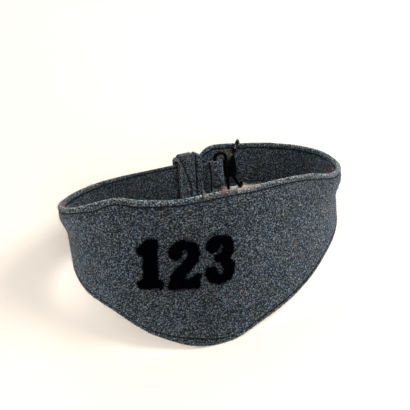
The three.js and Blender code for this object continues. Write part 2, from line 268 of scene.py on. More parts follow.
# A grid of faces that a function puts in place, with its doubles merged where it closes on itself.
def gridMesh(name, acrossCount, aroundCount, placePoint, masks=()):
    made = bmesh.new()
    bmesh.ops.create_grid(made, x_segments=acrossCount, y_segments=aroundCount, size=0.5)
    layers = {mask: made.verts.layers.float.new(mask) for mask in masks}
    for vertex in made.verts:
        across = round((vertex.co.x + 0.5) * acrossCount)
        around = round((vertex.co.y + 0.5) * aroundCount)
        vertex.co, values = placePoint(across, around)
        for mask, value in values.items():
            vertex[layers[mask]] = value
    bmesh.ops.remove_doubles(made, verts=made.verts, dist=mergeDistance)
    bmesh.ops.holes_fill(made, edges=made.edges, sides=0)
    bmesh.ops.recalc_face_normals(made, faces=made.faces)
    return asPiece(name, made)


# Turns a piece with its modifiers into a plain mesh.
def applyModifiers(piece):
    graph = bpy.context.evaluated_depsgraph_get()
    finished = bpy.data.meshes.new_from_object(piece.evaluated_get(graph))
    piece.modifiers.clear()
    piece.data = finished
    shadeSmooth(finished)


# A merged copy of a node of the frame, with its pairs of triangles made into faces of four sides.
def copyNode(node, name):
    made = readMesh(frame["nodes"][node].data)
    bmesh.ops.remove_doubles(made, verts=made.verts, dist=mergeDistance)
    bmesh.ops.join_triangles(
        made, faces=made.faces, angle_face_threshold=math.radians(25), angle_shape_threshold=math.radians(60)
    )
    return asPiece(name, made)


def dress(piece, material, slot, *nodes):
    piece.data.materials.clear()
    piece.data.materials.append(material)
    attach(piece, "root")
    if nodes:
        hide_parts(*nodes)
    print(slot, piece.name, len(piece.data.polygons), "faces")
    return piece


# Materials. addNode makes one node, links what is given as a socket and sets what is given as a value.
def addNode(tree, kind, settings=None, **inputs):
    node = tree.nodes.new(kind)
    for name, value in (settings or {}).items():
        setattr(node, name, value)
    for name, value in inputs.items():
        socket = node.inputs[int(name[1:])] if name[0] == "i" and name[1:].isdigit() else node.inputs[name]
        if isinstance(value, bpy.types.NodeSocket):
            tree.links.new(value, socket)
        else:
            socket.default_value = value
    return node


def maths(tree, operation, *values, clamped=False):
    settings = {"operation": operation, "use_clamp": clamped}
    inputs = {f"i{index}": value for index, value in enumerate(values)}
    return addNode(tree, "ShaderNodeMath", settings, **inputs).outputs[0]


def scaled(tree, value, factor, offset):
    return maths(tree, "MULTIPLY_ADD", value, factor, offset)


def mixColours(tree, share, first, second, blend="MIX"):
    settings = {"data_type": "RGBA", "blend_type": blend}
    return addNode(tree, "ShaderNodeMix", settings, i0=share, i6=first, i7=second).outputs[2]


def noiseOf(tree, place, scale, detail=2.0, roughness=0.5, distortion=0.0):
    return addNode(
        tree, "ShaderNodeTexNoise", Vector=place, Scale=scale, Detail=detail, Roughness=roughness,
        Distortion=distortion,
    ).outputs["Fac"]


def attributeOf(tree, name):
    return addNode(tree, "ShaderNodeAttribute", {"attribute_name": name}).outputs["Fac"]


def rampOf(tree, factor, stops):
    node = addNode(tree, "ShaderNodeValToRGB", Fac=factor)
    elements = node.color_ramp.elements
    while len(elements) < len(stops):
        elements.new(0.5)
    for element, (position, colour) in zip(elements, stops):
        element.position = position
        element.color = (*colour, 1)
    return node.outputs["Color"]


# A node group. An input with no value is a vector, and the others and the outputs are numbers.
def newGroup(name, inputs, outputs):
    tree = bpy.data.node_groups.new(name, "ShaderNodeTree")
    for socket, value in inputs.items():
        kind = "NodeSocketVector" if value is None else "NodeSocketFloat"
        made = tree.interface.new_socket(socket, in_out="INPUT", socket_type=kind)
        if value is not None:
            made.default_value = value
    for socket in outputs:
        tree.interface.new_socket(socket, in_out="OUTPUT", socket_type="NodeSocketFloat")
    return tree, tree.nodes.new("NodeGroupInput").outputs, tree.nodes.new("NodeGroupOutput").inputs


def useGroup(tree, group, **inputs):
    return addNode(tree, "ShaderNodeGroup", {"node_tree": group}, **inputs).outputs


def newMaterial(name):
    material = bpy.data.materials.new(name)
    material.use_nodes = True
    tree = material.node_tree
    place = addNode(tree, "ShaderNodeTexCoord").outputs["Object"]
    return material, tree, tree.nodes["Principled BSDF"], place


# A material's colour, roughness and shine, and its fine relief in millimetres where a height is given.
def setSurface(tree, shader, colour, rough, shine, rise=None, strength=1.0, depth=0.4):
    tree.links.new(colour, shader.inputs["Base Color"])
    shader.inputs["Roughness"].default_value = rough
    shader.inputs["Specular IOR Level"].default_value = shine
    if rise is not None:
        relief = addNode(tree, "ShaderNodeBump", Strength=strength, Distance=depth * mm, Height=rise)
        tree.links.new(relief.outputs[0], shader.inputs["Normal"])


# Short fibres lying every way, by noise stretched along three directions, their clumps, and a cloudy drift.
def makeFibreGroup():
    inputs = {"Vector": None, "Fineness": 1700.0, "Drift": 90.0}
    tree, given, result = newGroup("millFibres", inputs, ("Fibre", "Clump", "Drift"))
    turns = ((0.3, 0.9, 0.2), (1.1, 0.2, 1.9), (2.2, 1.4, 0.7))
    stretches = ((0.16, 1, 1), (1, 0.16, 1), (1, 1, 0.16))
    strands = []
    for turn, stretch in zip(turns, stretches):
        turned = addNode(tree, "ShaderNodeMapping", Vector=given["Vector"], Rotation=turn, Scale=stretch)
        strands.append(noiseOf(tree, turned.outputs[0], given["Fineness"], roughness=0.55, distortion=0.6))
    pair = maths(tree, "MAXIMUM", strands[0], strands[1])
    coarser = maths(tree, "MULTIPLY", given["Fineness"], 0.75)
    tree.links.new(maths(tree, "MAXIMUM", pair, strands[2]), result["Fibre"])
    clump = noiseOf(tree, given["Vector"], coarser, detail=3.0, roughness=0.6, distortion=0.4)
    tree.links.new(clump, result["Clump"])
    drift = noiseOf(tree, given["Vector"], given["Drift"], detail=3.0, roughness=0.6)
    tree.links.new(drift, result["Drift"])
    return tree


# Single coloured fibres: the few highest places of a noise that is stretched one way.
def makeStrayGroup():
    inputs = {"Vector": None, "Turn": None, "Rarity": 0.7}
    tree, given, result = newGroup("strayFibres", inputs, ("Stray",))
    turned = addNode(
        tree, "ShaderNodeMapping", Vector=given["Vector"], Rotation=given["Turn"], Scale=(0.2, 1, 1)
    )
    drawn = noiseOf(tree, turned.outputs[0], 1100.0, detail=0.0, distortion=0.8)
    over = maths(tree, "SUBTRACT", drawn, given["Rarity"])
    tree.links.new(maths(tree, "MULTIPLY", over, 25.0, clamped=True), result["Stray"])
    return tree


fibreGroup = makeFibreGroup()
strayGroup = makeStrayGroup()


wool = {
    "dark": (0.002, 0.003, 0.005),
    "middle": (0.026, 0.037, 0.046),
    "light": (0.190, 0.228, 0.262),
    "cool": (0.91, 0.99, 1.09, 1),
    "warm": (1.08, 1.02, 0.94, 1),
    "rose": (0.35, 0.085, 0.085, 1),
    "cream": (0.55, 0.44, 0.35, 1),
    # How much lighter the edges are: rubbed wear and a painted highlight.
    "rubbed": (2.75, 2.5, 2.15, 1),
    "lint": (0.008, 0.008, 0.007, 1),
    "rust": (0.16, 0.055, 0.04, 1),
    "blue": (0.035, 0.062, 0.11, 1),
    "sand": (0.26, 0.21, 0.15, 1),
    "coarse": {"Fineness": 1750.0, "Drift": 85.0},
    "fine": {"Fineness": 3600.0, "Drift": 240.0},
    "sheenTint": (0.8, 0.9, 1.0, 1),
}
# Coloured fibres in the mixture: shade, the way that they lie, and how rare they are.
strays = [
    ("rust", (0.4, 1.2, 0.3), 0.81),
    ("rust", (1.9, 0.3, 2.1), 0.82),
    ("blue", (2.6, 0.8, 1.4), 0.77),
    ("sand", (1.2, 2.4, 0.9), 0.775),
    ("sand", (0.1, 0.5, 2.7), 0.785),
]


# Masks painted on the cloth: seam, painted shade in the stitched grooves and creases; hem, lighter along the
# edges from rubbed wear and a painted highlight where light catches them; a third, how much darker it is,
# mostly painted shade and below nought painted light, with a cloudy tone; rose and cream where stray fibres
# are caught, fuzzy where fibres stand up. A mask with no value is nought.
clothMasks = ("seam", "hem", "shadeAndTone", "rose", "cream", "fuzzy")


def makeWool():
    material, tree, shader, place = newMaterial("milledWool")
    fibres = useGroup(tree, fibreGroup, Vector=place, **wool["coarse"])
    fine = useGroup(tree, fibreGroup, Vector=place, **wool["fine"])
    tone = scaled(tree, fibres["Clump"], 2.9, -2.86)
    tone = scaled(tree, fibres["Fibre"], 2.25, tone)
    tone = scaled(tree, fine["Fibre"], 0.9, tone)
    colour = rampOf(tree, tone, [(0.15, wool["dark"]), (0.5, wool["middle"]), (0.85, wool["light"])])
    drift = rampOf(tree, fibres["Drift"], [(0.38, (0, 0, 0)), (0.62, (1, 1, 1))])
    tint = mixColours(tree, drift, wool["cool"], wool["warm"])
    colour = mixColours(tree, 1.0, colour, tint, "MULTIPLY")
    for shade, turn, rarity in strays:
        stray = useGroup(tree, strayGroup, Vector=place, Turn=turn, Rarity=rarity)
        share = maths(tree, "MULTIPLY", stray["Stray"], 0.5)
        colour = mixColours(tree, share, colour, wool[shade])
    # Lighter along the edges by the hem mask: rubbed wear, and a painted highlight where the rolled hems
    # catch light.
    rubbed = mixColours(tree, 1.0, colour, wool["rubbed"], "MULTIPLY")
    rubbed = mixColours(tree, 1.0, rubbed, wool["lint"], "ADD")
    lit = mixColours(tree, attributeOf(tree, "hem"), colour, rubbed)
    tuft = maths(tree, "GREATER_THAN", fibres["Fibre"], 0.55)
    caught = scaled(tree, tuft, 0.6, 0.25)
    for mask in ("rose", "cream"):
        share = maths(tree, "MULTIPLY", attributeOf(tree, mask), caught)
        lit = mixColours(tree, share, lit, wool[mask])
    # Lighter where the cloth is seen edge-on: a painted sheen.
    facing = addNode(tree, "ShaderNodeLayerWeight", Blend=0.5).outputs["Facing"]
    paintedSheen = scaled(tree, maths(tree, "POWER", facing, 1.6), 1.1, 0.8)
    # Darker in the stitched grooves and creases, painted shade, and by the third mask: painted shade, and
    # painted light below nought.
    dim = scaled(tree, attributeOf(tree, "seam"), -0.93, 1.0)
    dim = maths(tree, "MULTIPLY", dim, paintedSheen)
    dim = maths(tree, "MULTIPLY", dim, scaled(tree, attributeOf(tree, "shadeAndTone"), -0.4, 1.0))
    shade = addNode(tree, "ShaderNodeCombineColor", i0=dim, i1=dim, i2=dim)
    colour = mixColours(tree, 1.0, lit, shade.outputs[0], "MULTIPLY")
    rise = maths(tree, "ADD", fibres["Fibre"], fibres["Clump"])
    rise = scaled(tree, fine["Fibre"], 0.4, rise)
    setSurface(tree, shader, colour, rough=0.95, shine=0.1, rise=rise, strength=0.9, depth=0.5)
    shader.inputs["Sheen Weight"].default_value = 0.1
    shader.inputs["Sheen Roughness"].default_value = 0.45
    shader.inputs["Sheen Tint"].default_value = wool["sheenTint"]
    return material


woolMaterial = makeWool()
print("wool made")


# The band: one strip, with a rolled hem above and below, drawn in along its two lines of stitching.
band = {
    "topSeam": 3.05,
    "topSeamLeft": 1.95,
    "topSeamStrays": [(-65, 7, 1.25), (-40, 8, 0.7), (-4, 9, 0.4), (61, 6, 0.4)],
    "bottomSeam": 2.8,
    "bottomSeamTip": 5.0,
    "seamDepth": 0.9,
    "seamWidth": 0.42,
    "seamWidthBehind": 0.6,
    "hemPuff": 0.16,
    "stitchPitch": 2.7,
    "stationStep": 1.0,
    "fineReach": 8.0,
    "fineRows": 24,
    "middleRows": 46,
    "rollRows": 6,
    "wave": 0.32,
    "nap": 0.07,
    "calmFrom": 150,
    "calmTo": 175,
    "tip": (-19, 13),
    "topHem": (1.6, 1.1),
    "bottomHem": (1.7, 1.2),
    # Where the edges are painted lighter: rubbed wear, and a painted highlight on the rolled hems.
    "wornAndLitEnds": (0.35, 1.6),
    "wornAndLitFades": (2.4, 3.2),
    "fullDepth": 18,
    "endTurns": 5,
    "sewingStart": 4,
    "sewingStop": 2,
}
# Stray red and pale fibres: their mask, where along the strip, how far below the top edge, outside (1) or
# inside (-1), how far they spread each way, and how strongly.
traces = [
    ("rose", -99, 2.0, -1, 6, 2.4, 0.4),
    ("rose", 4.5, 0.3, 1, 2.4, 0.9, 0.6),
    ("cream", 17, 0.3, 1, 9, 0.75, 0.35),
    ("rose", 79, 1.6, -1, 5, 1.6, 0.2),
    ("rose", 109, 10.2, -1, 6, 2.8, 0.42),
    ("cream", 192, 7.6, -1, 3, 2.4, 0.4),
]
crease = {
    "from": -70,
    "to": -60,
    "fade": 3,
    "below": 12,
    "slope": 0.95,
    "width": 0.7,
    "deep": 0.4,
    "dark": 0.5,
}
# The lower corner next to the keeper turns in a little.
tuck = {"at": -219.4, "wide": 1.1, "deep": 2.2, "low": -27, "high": -23.5}
# How much darker the cloth is painted: outside (1) or inside (-1), where, how wide, near the top edge,
# lower down, and the depths between which that changes. Below nought it is lighter. Inside the loop it is
# mostly painted shade, more so lower down; outside, the left of the front is painted light, and the middle
# and right are darker.
shades = [
    (1, -12, 36, 0.9, 0.9, (0, 1)),
    (1, -76, 24, -0.5, -0.5, (0, 1)),
    (1, 84, 12, 0.35, 0.35, (0, 1)),
    (1, 66, 24, 0.7, 0.21, (8, 24)),
    (-1, -12, 36, 0.5, 0.5, (0, 1)),
    (-1, -160, 45, 1.15, 1.15, (0, 1)),
    (-1, 150, 40, 0.3, 0.3, (0, 1)),
    (-1, 112, 16, -0.75, -0.3, (3, 8)),
    (-1, -118, 24, 0, 1.1, (5, 14)),
]


def ringRows():
    roll = strip["thickness"] / 2
    near = [mix(roll, band["fineReach"], i / band["fineRows"]) for i in range(band["fineRows"] + 1)]
    middle = [i / band["middleRows"] for i in range(band["middleRows"] + 1)]
    turns = [math.pi * i / band["rollRows"] for i in range(band["rollRows"] + 1)]
    wallUp = [("bottom", d) for d in near[:-1]] + [("middle", s) for s in middle[:-1]]
    wallUp += [("top", d) for d in reversed(near)]
    outer = [(1, *row) for row in wallUp[:-1]]
    inner = [(-1, *row) for row in reversed(wallUp[1:])]
    topRoll = [(0, "topRoll", angle) for angle in turns[:-1]]
    bottomRoll = [(0, "bottomRoll", angle) for angle in turns[:-1]]
    return outer + topRoll + [(-1, *wallUp[-1])] + inner + bottomRoll


# How far the line of stitching lies from its edge. The top one strays down in places, and lies closer at the
# left behind. The bottom one strays up beside the tip, where it shows most.
def seamPlace(edge, at):
    if edge == "bottom":
        return mix(band["bottomSeam"], band["bottomSeamTip"], bump(at, *band["tip"]))
    strayed = sum(further * bump(at, middle, wide) for middle, wide, further in band["topSeamStrays"])
    return mix(band["topSeam"] + strayed, band["topSeamLeft"], smoothStep(-at, 120, 175))


# Half the cloth's thickness, drawn in at the stitched grooves, and the mask that paints shade into them.
def halfThick(fromTop, fromBottom, at):
    pinch = 0.8 + 0.2 * math.cos(2 * math.pi * at / band["stitchPitch"])
    fading = 0.5 + 0.5 * bump(at, *band["tip"]) + 0.35 * bump(at, 38, 26)
    front = band["seamWidth"] * (1 + 0.35 * bump(at, 27, 10) + 0.25 * bump(at, -24, 6))
    width = mix(front, band["seamWidthBehind"], smoothStep(abs(at), 95, 125))
    upper = (1 - 0.55 * bump(at, 109, 9)) * bump(fromTop, seamPlace("top", at), width)
    seam = max(upper, fading * bump(fromBottom, seamPlace("bottom", at), width))
    hem = max(bump(fromTop, *band["topHem"]), 0.7 * bump(fromBottom, *band["bottomHem"]))
    half = strip["thickness"] / 2 - 0.1 + band["hemPuff"] * hem - band["seamDepth"] * seam * pinch
    faint = 1.2 + 0.5 * noiseAt(at / 6, 0, 11)
    return half, min(1.35 * seam * min(faint, 1), 1)


def traceMasks(at, fromTop, side):
    values = {"rose": 0, "cream": 0}
    for mask, middle, below, traceSide, long, deep, strength in traces:
        if side * traceSide >= 0:
            reach = bump(at, middle, long) * bump(fromTop, below, deep)
            values[mask] = max(values[mask], reach * strength)
    return values


# How much lower the inner face hangs than the outer one: round the wire under it, and next to the keeper.
def hangOf(at, side):
    wire = bump(at, 184.4, 5)
    byWire = 1.1 * wire + 2.2 * wire * (1 - bump(at, 184.6, 2.3)) + bump(at, 161, 11)
    byKeeper = 4.2 * smoothStep(-at, 217.8, 218.8)
    pastKeeper = 1.8 * smoothStep(at, -199.8, -198.4) * (1 - smoothStep(at, -188, -176))
    return (byWire + byKeeper + pastKeeper) * (1 - side) / 2


# How much darker the cloth is painted at one place: a cloudy tone outside, the painted shade and light of the
# table above, and painted light in the end behind the keeper, which lies in shade.
def shadeAndToneOf(at, side, fromTop):
    outside = side > 0
    dark = 0.3 * noiseAt(at / 15, fromTop / 13, 31) if outside else -2.6 * smoothStep(-at, 217.2, 218.4)
    for shadeSide, middle, wide, upper, lower, turn in shades:
        if (shadeSide > 0) == outside:
            dark += mix(upper, lower, smoothStep(fromTop, *turn)) * bump(at, middle, wide)
    return dark


# A short crease in the cloth at the left of the front, running down to the right.
def creaseAt(at, fromTop):
    start, end, fade = crease["from"], crease["to"], crease["fade"]
    if not start - fade < at < end + fade:
        return 0
    line = crease["below"] + crease["slope"] * (at - start)
    across = (fromTop - line) * math.cos(math.atan(crease["slope"]))
    ends = smoothStep(at, start - fade, start) * (1 - smoothStep(at, end - fade, end + fade))
    return bump(across, 0, crease["width"]) * ends


# Slow waves in the cloth's face, which are calmer in the narrow part behind.
def waveAt(at, height):
    return band["wave"] * (noiseAt(at / 27, height / 24, 3) + 0.35 * noiseAt(at / 9, height / 8, 7))


def calmAt(at):
    return 1 - 0.85 * smoothStep(abs(at), band["calmFrom"], band["calmTo"])


def napAt(*place):
    return band["nap"] * noiseAt(*place)


def bandPoint(section, row):
    side, kind, value = row
    at, top, bottom = section["at"], section["top"], section["bottom"]
    fit = min(1, (top - bottom) / band["fullDepth"])
    roll = strip["thickness"] / 2 * fit
    endDistance = min(at - strip["leftEnd"], strip["rightEnd"] - at)
    reach = band["fineReach"] * fit
    bottom -= hangOf(at, side or -math.cos(value))
    if kind == "top":
        height = top - value * fit
    elif kind == "bottom":
        height = bottom + value * fit
    elif kind == "middle":
        height = mix(bottom + reach, top - reach, value)
    elif kind == "topRoll":
        height = top - roll + roll * math.sin(value)
        side = math.cos(value)
    else:
        height = bottom + roll - roll * math.sin(value)
        side = -math.cos(value)
    fromTop, fromBottom = (top - height) / fit, (height - bottom) / fit
    half, seam = halfThick(max(fromTop, roll), max(fromBottom, roll), at)
    nap = napAt(at / 1.3, height / 1.3, 20 * side)
    out = side * (half * fit + nap) * roundedEnd(endDistance, roll) + waveAt(at, height) * calmAt(at)
    tucked = bump(at, tuck["at"], tuck["wide"]) * (1 - smoothStep(height, tuck["low"], tuck["high"]))
    out -= tuck["deep"] * tucked
    if side > 0:
        # The crease is pressed in and painted darker along it: painted shade in its fold.
        folded = creaseAt(at, fromTop)
        out -= crease["deep"] * folded
        seam = max(seam, crease["dark"] * folded)
    # The edges are painted lighter: rubbed wear, and a painted highlight where light from above and off the
    # floor catches the rolled hems.
    edgeDistance = min(fromTop, fromBottom + 0.4)
    hem = 1 - 0.85 * smoothStep(edgeDistance, *band["wornAndLitEnds"])
    hem -= 0.15 * smoothStep(edgeDistance, *band["wornAndLitFades"])
    masks = {
        "seam": seam,
        "hem": hem * (1 - 0.5 * smoothStep(abs(at), 88, 108)),
        "shadeAndTone": shadeAndToneOf(at, side, fromTop) * smoothStep(fromTop, -2 if at > 40 else 0.5, 4),
        "fuzzy": 1 - min(1, 1.5 * seam),
        **traceMasks(at, fromTop, side),
    }
    return onStrip(section, out, height), masks


def bandStations():
    roll = strip["thickness"] / 2
    count = round((strip["rightEnd"] - strip["leftEnd"] - 2 * roll) / band["stationStep"])
    stations = roundedSteps(strip["leftEnd"], strip["rightEnd"], roll, band["endTurns"], count)
    return [sectionAt(at) for at in stations]


def makeBand():
    stations = bandStations()
    rows = ringRows()
    count = len(rows)

    def place(along, around):
        return bandPoint(stations[along], rows[around % count])

    piece = gridMesh("wool_band", len(stations) - 1, count, place, clothMasks)
    return dress(piece, woolMaterial, "wool_cloth", "band")


bandPiece = makeBand()


# Stitches: short rounded lengths of thread lying along a line on the cloth.
stitch = {"length": 2.1, "radius": 0.27, "flat": 0.8, "raised": 0.05, "sides": 6, "rings": 5}


def makeStitches(name, lines, material):
    one = bmesh.new()
    bmesh.ops.create_uvsphere(one, u_segments=stitch["sides"], v_segments=stitch["rings"], radius=1)
    bmesh.ops.rotate(one, verts=one.verts, matrix=Matrix.Rotation(math.pi / 2, 3, "Y"))
    single = bpy.data.meshes.new("oneStitch")
    writeMesh(one, single)
    joined = bmesh.new()
    radius = stitch["radius"] * mm
    for line in lines:
        for start, end, up in line:
            along = end - start
            side = up.cross(along).normalized()
            up = along.cross(side).normalized()
            turn = Matrix((along.normalized(), side, up)).transposed().to_4x4()
            size = Matrix.Diagonal((along.length / 2, radius, radius * stitch["flat"], 1))
            place = Matrix.Translation((start + end) / 2) @ turn @ size
            single.transform(place)
            joined.from_mesh(single)
            single.transform(place.inverted())
    bpy.data.meshes.remove(single)
    dress(asPiece(name, joined), material, "wool_cloth")


# One stitch between two places on the cloth, each given with a place above it.
def stitchBetween(first, last):
    start, above = first
    return start, last[0], above - start


def bandStitchLine(side, edge):
    line = []
    at = strip["leftEnd"] + band["sewingStart"]
    while at < strip["rightEnd"] - strip["endRadius"] - band["sewingStop"]:
        ends = []
        for spot in (at, at + stitch["length"]):
            section = sectionAt(spot)
            distance = seamPlace(edge, at)
            bottom = section["bottom"] - hangOf(spot, side)
            height = section["top"] - distance if edge == "top" else bottom + distance
            half, _ = halfThick(section["top"] - height, height - bottom, at)
            lift = side * (half + stitch["raised"]) + waveAt(spot, height) * calmAt(at)
            ends.append((onStrip(section, lift, height), onStrip(section, lift + side, height)))
        line.append(stitchBetween(*ends))
        at += band["stitchPitch"]
    return line


def makeThread(name, dark, pale):
    material, tree, shader, place = newMaterial(name)
    twist = noiseOf(tree, place, 3500.0)
    colour = rampOf(tree, twist, [(0.3, dark), (0.7, pale)])
    setSurface(tree, shader, colour, rough=0.8, shine=0.05, rise=twist, strength=0.6, depth=0.05)
    return material


threadMaterial = makeThread("darkThread", (0.002, 0.0025, 0.004), (0.008, 0.010, 0.013))
tanMaterial = makeThread("tanThread", (0.09, 0.075, 0.045), (0.22, 0.185, 0.125))
bandLines = [bandStitchLine(side, edge) for side in (1, -1) for edge in ("top", "bottom")]
makeStitches("band_stitches", bandLines, threadMaterial)
print("band stitched")


# The keeper: a cloth loop round both ends of the strip, its edges folded back and sewn down.
keeper = {
    "from": -217.6,
    "to": -200.3,
    "top": 1.5,
    "thickness": 1.7,
    "skew": 0.05,
    "slack": 0.2,
    "corner": 0.6,
    "cornerSteps": 5,
    "sideSteps": 34,
    "endSteps": 6,
    "acrossSteps": 46,
    "lining": 8,
    "edgeSteps": 6,
    "foldWidth": (1.7, 7.2),
    "foldEnds": 0.62,
    "farFoldWidth": (4.6, 5.0),
    "seamOff": 0.2,
    "crease": -15.5,
    "bottom": -26,
    "droop": 2.4,
    "stitches": 8,
}


def groundHeight(section, out):
    above = strapPoint(section, out, 0).z
    return -above / (above - strapPoint(section, out, -1).z)


# Stops round the loop: a side, how far along it, and the quarter turns to the way out. Side 1 is by the arm.
def keeperStops():
    stops = []
    for side in range(4):
        length = keeper["endSteps"] if side % 2 == 0 else keeper["sideSteps"]
        turn = [(side, 0, side + i / keeper["cornerSteps"]) for i in range(keeper["cornerSteps"])]
        straight = [(side, i / length, side + 1) for i in range(length)]
        stops += turn + straight
    return stops


def keeperStop(section, stop, grow):
    side, share, quarter = stop
    corner = keeper["corner"]
    inside = -strip["thickness"] / 2 - strip["clearance"] + corner
    outside = strip["thickness"] * 1.5 + 2 * strip["clearance"] + keeper["slack"] - corner
    high = keeper["top"] - keeper["thickness"] - corner
    low = keeper["thickness"] + corner
    corners = [
        Vector((outside, high)),
        Vector((inside, high)),
        Vector((inside, groundHeight(section, inside) + low)),
        Vector((outside, groundHeight(section, outside) + low)),
    ]
    middle = corners[side].lerp(corners[(side + 1) % 4], share)
    angle = math.pi / 2 * quarter
    return middle + Vector((math.cos(angle), math.sin(angle))) * (corner + grow)


def nearFold(down):
    return mix(*keeper["foldWidth"], min(down / keeper["foldEnds"], 1))


def farFold(down):
    return mix(*keeper["farFoldWidth"], down)


# How the loop's face rises and sinks along its width: two folded edges, a sewn line by each, and a crease.
def keeperRelief(at, down):
    fromNear = keeper["to"] - at
    fromFar = at - keeper["from"]
    near, far = nearFold(down), farFold(down)
    fold = 0.5 * (1 - smoothStep(fromNear, near - 0.9, near))
    fold += 0.45 * (1 - smoothStep(fromFar, far - 0.7, far))
    nearSeam = bump(fromNear, near + keeper["seamOff"], 0.8)
    farSeam = bump(fromFar, far + keeper["seamOff"], 0.75)
    height = mix(keeper["top"], keeper["bottom"], down)
    creased = bump(height, keeper["crease"] - 0.2 * fromFar, 0.6) * (1 - smoothStep(fromFar, far, far + 3))
    seam = max(nearSeam, farSeam, 0.8 * creased)
    return fold - 0.9 * seam, seam


def keeperRows():
    half = keeper["thickness"] / 2
    low, high = keeper["from"] + half, keeper["to"] - half
    face = [(mix(low, high, i / keeper["acrossSteps"]), 1) for i in range(keeper["acrossSteps"] + 1)]
    turns = [math.pi * i / keeper["edgeSteps"] for i in range(1, keeper["edgeSteps"])]
    nearEdge = [(high + half * math.sin(a), (1 + math.cos(a)) / 2) for a in turns]
    lining = [(mix(high, low, i / keeper["lining"]), 0) for i in range(keeper["lining"] + 1)]
    farEdge = [(low - half * math.sin(a), (1 - math.cos(a)) / 2) for a in turns]
    return face + nearEdge + lining + farEdge


# How far down the side next to the arm a stop is, or nought on the other sides.
def downTo(stop):
    return stop[1] if stop[0] == 1 else 0


def keeperPoint(row, stop):
    at, level = row
    _, share, quarter = stop
    relief, seam = keeperRelief(at, downTo(stop))
    wobble = 0.25 * noiseAt(at / 6, 5 * quarter + share * 4, 2)
    grow = level * (keeper["thickness"] + relief + wobble)
    place = keeperStop(sectionAt(at), stop, grow)
    corner = 1 - smoothStep(at, keeper["from"], keeper["from"] + 5)
    corner += smoothStep(at, keeper["to"] - 3, keeper["to"])
    place.y -= keeper["droop"] * corner * smoothStep(place.y, -6, 1)
    nap = napAt(at / 1.2, place.x / 1.2, place.y / 1.2)
    section = sectionAt(at - keeper["skew"] * place.y)
    edge = 1 - smoothStep(min(keeper["to"] - at, at - keeper["from"]), 0.3, 2.5)
    seam *= level
    # The keeper's grooves and crease get painted shade, its edges are lighter, and the whole is painted a
    # little lighter: painted light.
    masks = {"seam": seam, "hem": 0.25 * edge, "shadeAndTone": -0.2, "fuzzy": 1 - seam}
    return onStrip(section, place.x + nap, place.y), masks


def makeKeeper():
    rows = keeperRows()
    stops = keeperStops()

    def place(across, around):
        return keeperPoint(rows[across % len(rows)], stops[around % len(stops)])

    piece = gridMesh("cloth_keeper", len(rows), len(stops), place, clothMasks)
    return dress(piece, woolMaterial, "wool_cloth", "keeper_loop")


keeperPiece = makeKeeper()
print("keeper made")


# The buckle's own place, at the strip's left end: along the strip, away from the arm, and height.
def onBuckle(along, away, height):
    x, depth = columnAt("x", strip["leftEnd"]), columnAt("depth", strip["leftEnd"])
    return toRoom(x + along, depth + away, height) * mm


# The tab: one cloth sheet folded round the wire loop's bar. Its corners are in plan, and the fold is round.
tab = {
    "thickness": 1.6,
    "open": -4.0,
    "bend": -2.2,
    "bulgeFrom": -0.5,
    "foldMiddle": (2.7, -4.8),
    "foldRadius": 2.3,
    "nearLayer": -4.3,
    "farLayer": -2.5,
    "top": -4.8,
    "bottom": -26,
    "steps": 8,
    "heightSteps": 40,
    "endTurns": 4,
    "sewnAt": -2.4,
    "bow": 0.9,
    "bottomSeam": -22,
    "slope": 0.28,
}


def tabLine():
    radius = tab["foldRadius"]
    middle = Vector(tab["foldMiddle"])
    near, bulge = tab["nearLayer"], middle.y - radius
    line = [Vector((mix(tab["open"], tab["bend"], i / 3), near)) for i in range(3)]
    for i in range(tab["steps"]):
        share = i / tab["steps"]
        away = mix(near, bulge, smoothStep(share, 0, 1))
        line.append(Vector((mix(tab["bend"], tab["bulgeFrom"], share), away)))
    line += [Vector((mix(tab["bulgeFrom"], middle.x, i / 6), bulge)) for i in range(6)]
    for i in range(2 * tab["steps"]):
        angle = math.pi * (i / (2 * tab["steps"]) - 0.5)
        line.append(middle + radius * Vector((math.cos(angle), math.sin(angle))))
    line += [Vector((mix(middle.x, tab["open"], i / 12), tab["farLayer"])) for i in range(13)]
    return line


# The upright line of sewing on the tab, which bows a little.
def tabSeam(height):
    return tab["sewnAt"] - tab["bow"] * ((height + 13) / 11) ** 2


# The short line of sewing at its foot, which rises to the right.
def tabSlant(x):
    return tab["bottomSeam"] + tab["slope"] * (x - tab["bulgeFrom"])


